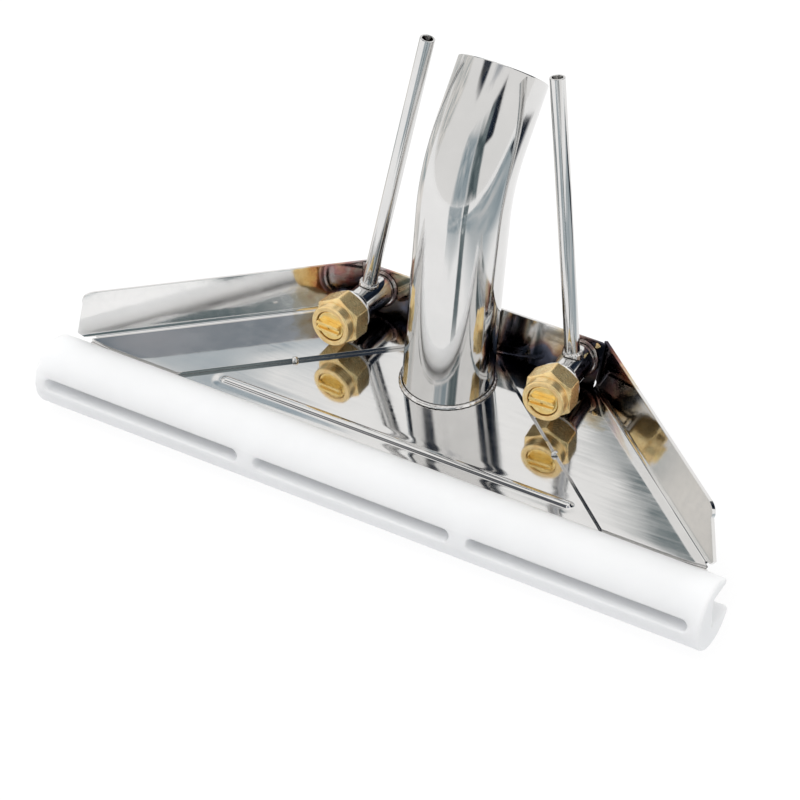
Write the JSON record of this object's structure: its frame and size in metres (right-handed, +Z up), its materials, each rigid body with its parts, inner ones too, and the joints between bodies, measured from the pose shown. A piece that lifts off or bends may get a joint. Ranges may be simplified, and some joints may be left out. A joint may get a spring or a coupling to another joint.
{
  "type": "extraction floor wand head",
  "caption": "Head of a hot-water extraction floor wand: slotted white glide on a polished steel vacuum head, bent vacuum tube, brass spray jets fed by small tubes.",
  "frame": {"origin": "middle of the footprint, on the plane the head stands on", "axes": "+X along the glide to its right end, -Y the way the glide faces, +Z up, square to the top plate"},
  "size_m": [0.3058, 0.1386, 0.1614],
  "materials": {
    "glide_plastic": "satin",
    "washer_plastic": "satin",
    "sheet_steel": "polished",
    "tube_steel": "polished",
    "weld_metal": "satin",
    "inner_steel": "satin",
    "nut_brass": "satin",
    "tip_brass": "satin"
  },
  "bodies": {
    "root": {"back_wall": "sheet_steel", "chamber_pan": "sheet_steel", "left_boss_weld": "weld_metal", "left_check_spring": "inner_steel", "left_corner_weld": "weld_metal", "left_flow_divider": "inner_steel", "left_jet_body": "tube_steel", "left_seam_tack": "weld_metal", "left_solution_tube": "tube_steel", "left_tube_weld": "weld_metal", "left_washer": "washer_plastic", "left_wing_plate": "sheet_steel", "mouth_spacer_1": "inner_steel", "mouth_spacer_2": "inner_steel", "mouth_spacer_3": "inner_steel", "mouth_spacer_4": "inner_steel", "right_boss_weld": "weld_metal", "right_check_spring": "inner_steel", "right_corner_weld": "weld_metal", "right_flow_divider": "inner_steel", "right_jet_body": "tube_steel", "right_seam_tack": "weld_metal", "right_solution_tube": "tube_steel", "right_tube_weld": "weld_metal", "right_washer": "washer_plastic", "right_wing_plate": "sheet_steel", "top_plate": "sheet_steel", "tube_foot_weld": "weld_metal", "vacuum_tube": "tube_steel"},
    "glide": {"glide": "glide_plastic"},
    "left_strainer": {"left_strainer": "inner_steel"},
    "left_tip": {"left_spray_tip": "tip_brass"},
    "left_nut": {"left_nut": "nut_brass"},
    "left_ball": {"left_check_ball": "inner_steel"},
    "right_strainer": {"right_strainer": "inner_steel"},
    "right_tip": {"right_spray_tip": "tip_brass"},
    "right_nut": {"right_nut": "nut_brass"},
    "right_ball": {"right_check_ball": "inner_steel"}
  },
  "joints": [
    {"name": "glide_slide", "type": "slide", "parent": "root", "child": "glide", "axis": [1, 0, 0], "range_m": [-0.31, 0.31]},
    {"name": "left_nozzle_out", "type": "slide", "parent": "root", "child": "left_strainer", "axis": [-0.059, -0.9928, 0.1045], "range_m": [0, 0.006]},
    {"name": "left_nut_spin", "type": "hinge", "parent": "left_strainer", "child": "left_nut", "pos_m": [-0.04984, -0.00036, 0.03886], "axis": [-0.059, -0.9928, 0.1045], "range_deg": [0, 1729]},
    {"name": "left_tip_turn", "type": "hinge", "parent": "left_strainer", "child": "left_tip", "pos_m": [-0.04984, -0.00036, 0.03886], "axis": [-0.059, -0.9928, 0.1045], "range_deg": [-90, 90]},
    {"name": "left_check_lift", "type": "slide", "parent": "root", "child": "left_ball", "axis": [-0.059, -0.9928, 0.1045], "range_m": [0, 0.0015], "stiffness_N_per_m": 100, "springref_m": -0.003, "deforming": ["left_check_spring"]},
    {"name": "right_nozzle_out", "type": "slide", "parent": "root", "child": "right_strainer", "axis": [0.059, -0.9928, 0.1045], "range_m": [0, 0.006]},
    {"name": "right_nut_spin", "type": "hinge", "parent": "right_strainer", "child": "right_nut", "pos_m": [0.04984, -0.00036, 0.03886], "axis": [0.059, -0.9928, 0.1045], "range_deg": [0, 1729]},
    {"name": "right_tip_turn", "type": "hinge", "parent": "right_strainer", "child": "right_tip", "pos_m": [0.04984, -0.00036, 0.03886], "axis": [0.059, -0.9928, 0.1045], "range_deg": [-90, 90]},
    {"name": "right_check_lift", "type": "slide", "parent": "root", "child": "right_ball", "axis": [0.059, -0.9928, 0.1045], "range_m": [0, 0.0015], "stiffness_N_per_m": 100, "springref_m": -0.003, "deforming": ["right_check_spring"]}
  ],
  "couplings": [
    {"joint": "left_nut_spin", "follows": "left_nozzle_out", "rad_per_m": 5026.5},
    {"joint": "right_nut_spin", "follows": "right_nozzle_out", "rad_per_m": 5026.5}
  ]
}
